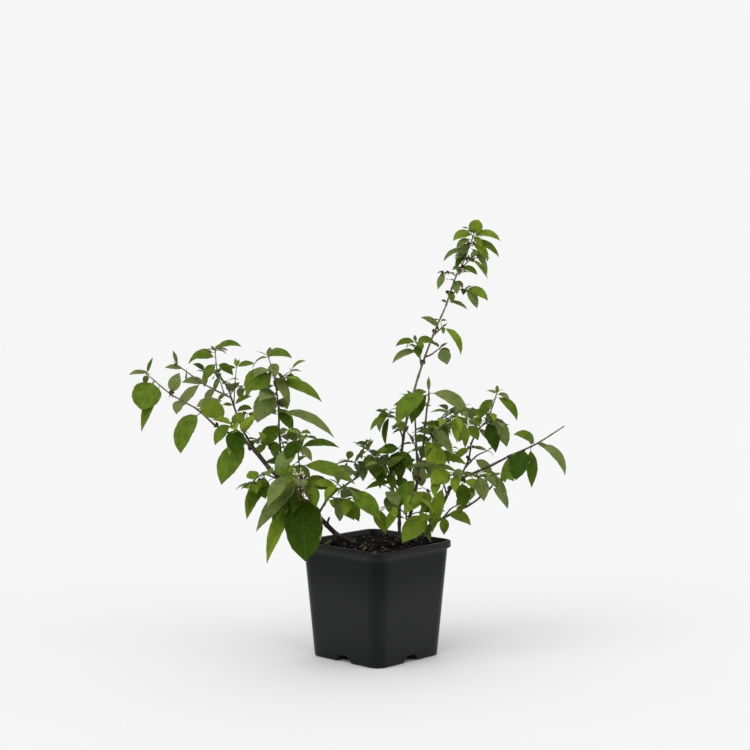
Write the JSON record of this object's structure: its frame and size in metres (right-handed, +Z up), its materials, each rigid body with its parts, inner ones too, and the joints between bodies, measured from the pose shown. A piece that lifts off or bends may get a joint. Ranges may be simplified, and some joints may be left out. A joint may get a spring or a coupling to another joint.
{
  "type": "potted beautyberry shrub",
  "caption": "Young beautyberry shrub with arching leafy stems and small dry bud knots, standing in a tapered square nursery pot filled with compost.",
  "frame": {"origin": "centre of the pot's flat underside", "axes": "+Z up along the plant, +X to the viewer's right and +Y away from the viewer, with one corner of the pot towards the viewer"},
  "size_m": [0.483, 0.2013, 0.4985],
  "materials": {
    "pot_plastic": "satin",
    "compost": "matte",
    "bark": "matte",
    "leaf_mid": "satin",
    "leaf_bright": "satin",
    "leaf_dark": "satin"
  },
  "bodies": {
    "root": {"pot": "pot_plastic", "soil": "compost", "left_stem": "bark", "left_outer_bough": "bark", "left_upper_bough": "bark", "left_crown_bough": "bark", "cross_bough": "bark", "tall_stem": "bark", "second_stem": "bark", "second_stem_left": "bark", "second_stem_right": "bark", "right_stem": "bark", "right_outer_bough": "bark", "right_upright_bough": "bark", "low_right_stem": "bark", "low_left_shoot": "bark", "left_tip": "leaf_mid", "left_shoulder": "leaf_bright", "left_lower": "leaf_dark", "left_front": "leaf_mid", "left_crown": "leaf_bright", "left_upper_tip": "leaf_dark", "left_crest": "leaf_mid", "left_back": "leaf_bright", "cross_tip": "leaf_dark", "cross_low": "leaf_mid", "low_mid": "leaf_bright", "centre_left": "leaf_dark", "centre_left_back": "leaf_mid", "tall_twig": "leaf_bright", "second_left_tip": "leaf_dark", "second_right_tip": "leaf_mid", "right_crown_front": "leaf_bright", "right_crown": "leaf_dark", "right_mid": "leaf_mid", "right_front": "leaf_bright", "right_arm": "leaf_dark", "right_tip": "leaf_mid", "low_right": "leaf_bright", "low_right_front": "leaf_dark", "centre_front": "leaf_mid", "centre_back": "leaf_bright", "right_back": "leaf_dark", "tall_mid_left": "leaf_mid", "tall_mid_right": "leaf_bright", "tall_node": "leaf_dark", "tall_top": "leaf_mid"}
  },
  "joints": []
}
